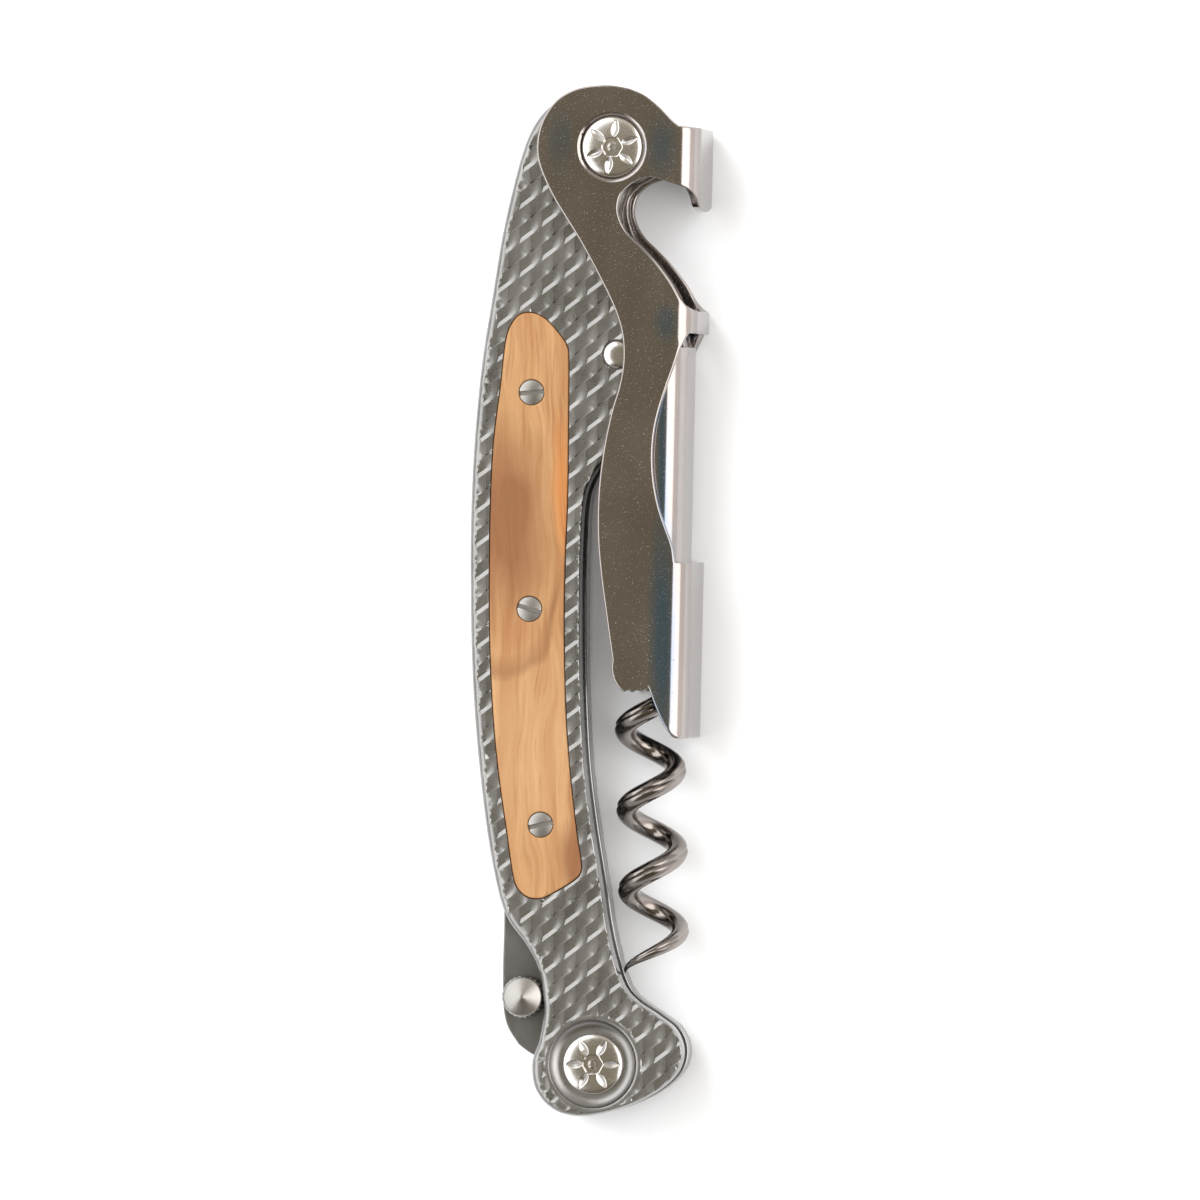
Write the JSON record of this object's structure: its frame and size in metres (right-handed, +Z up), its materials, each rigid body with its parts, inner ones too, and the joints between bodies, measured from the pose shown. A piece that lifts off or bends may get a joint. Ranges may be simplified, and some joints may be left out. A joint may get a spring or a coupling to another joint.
{
  "type": "lever corkscrew",
  "caption": "Folding lever corkscrew with a nested two-step lever and cap lifter, a fluted worm, a foil blade with thumb stud, and textured steel scales with olive-wood inlays.",
  "frame": {"origin": "centre of the closed object's bounding box, in the middle plane between the scales", "axes": "+Y from the blade pivot to the lever pivot, +X towards the lever's folded edge, +Z up through the front scale"},
  "size_m": [0.0274, 0.1201, 0.0142],
  "materials": {
    "textured_steel": "embossed, polished ridges",
    "olive_wood": "oiled",
    "screw_steel": "satin",
    "pivot_steel": "polished",
    "frame_steel": "ground",
    "spring_steel": "polished edge",
    "bronze": "plain",
    "nickel_sheet": "bright nickel plate",
    "worm_steel": "polished",
    "blade_steel": "satin"
  },
  "bodies": {
    "handle": {"front_scale": "textured_steel", "back_scale": "textured_steel", "front_inlay": "olive_wood", "back_inlay": "olive_wood", "front_inlay_screws": "screw_steel", "back_inlay_screws": "screw_steel", "top_spacer": "frame_steel", "middle_spacer": "frame_steel", "back_spring": "spring_steel", "spring_rivet": "frame_steel", "frame_rivets": "frame_steel", "worm_pin": "pivot_steel", "lever_pivot_barrel": "pivot_steel", "lever_pivot_screw": "pivot_steel", "blade_pivot_barrel": "pivot_steel", "blade_pivot_screw": "pivot_steel", "blade_washers": "bronze", "blade_stop_pin": "frame_steel"},
    "lever": {"outer_lever": "nickel_sheet"},
    "step_lever": {"step_lever": "nickel_sheet"},
    "worm": {"worm": "worm_steel"},
    "blade": {"blade": "blade_steel", "thumb_stud": "pivot_steel"}
  },
  "joints": [
    {"name": "lever_hinge", "type": "hinge", "parent": "handle", "child": "lever", "pos_m": [0.00343, 0.0527, 0], "axis": [0, 0, 1], "range_deg": [0, 125]},
    {"name": "step_lever_hinge", "type": "hinge", "parent": "lever", "child": "step_lever", "pos_m": [0.00343, 0.0527, 0], "axis": [0, 0, 1], "range_deg": [-21, 0]},
    {"name": "worm_hinge", "type": "hinge", "parent": "handle", "child": "worm", "pos_m": [0.00364, 0.0286, 0], "axis": [0, 0, 1], "range_deg": [0, 90]},
    {"name": "blade_hinge", "type": "hinge", "parent": "handle", "child": "blade", "pos_m": [0.0008, -0.0541, 0], "axis": [0, 0, 1], "range_deg": [0, 180]}
  ],
  "couplings": [
    {"joint": "step_lever_hinge", "follows": "lever_hinge", "ratio": -0.1667},
    {"joint": "worm_hinge", "follows": "lever_hinge", "ratio": 0.72}
  ]
}
